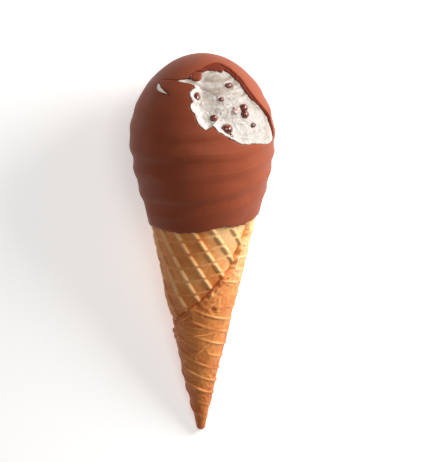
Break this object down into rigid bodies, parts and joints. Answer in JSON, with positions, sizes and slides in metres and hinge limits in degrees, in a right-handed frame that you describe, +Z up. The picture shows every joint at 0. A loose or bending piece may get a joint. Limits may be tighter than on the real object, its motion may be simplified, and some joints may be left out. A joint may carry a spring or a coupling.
{
  "type": "ice cream cone",
  "caption": "Ice cream cone lying on its side: a rolled waffle cone filled with vanilla ice cream in a chocolate coating, with a bite out of the ball.",
  "frame": {"origin": "on the surface that the cone lies on, under the middle of its bounding box", "axes": "+Y along the cone towards the ball, +Z up through the bitten side, +X to the right when seen from above with the ball away from the viewer"},
  "size_m": [0.0624, 0.1628, 0.0621],
  "materials": {
    "wafer": "baked sugar wafer, matt with a faint sheen",
    "ice_cream": "frozen vanilla ice cream, matt and crystalline",
    "chocolate": "milk chocolate, satin"
  },
  "bodies": {
    "root": {"waffle_cone": "wafer", "ice_cream": "ice_cream", "chocolate_coating": "chocolate"}
  },
  "joints": []
}
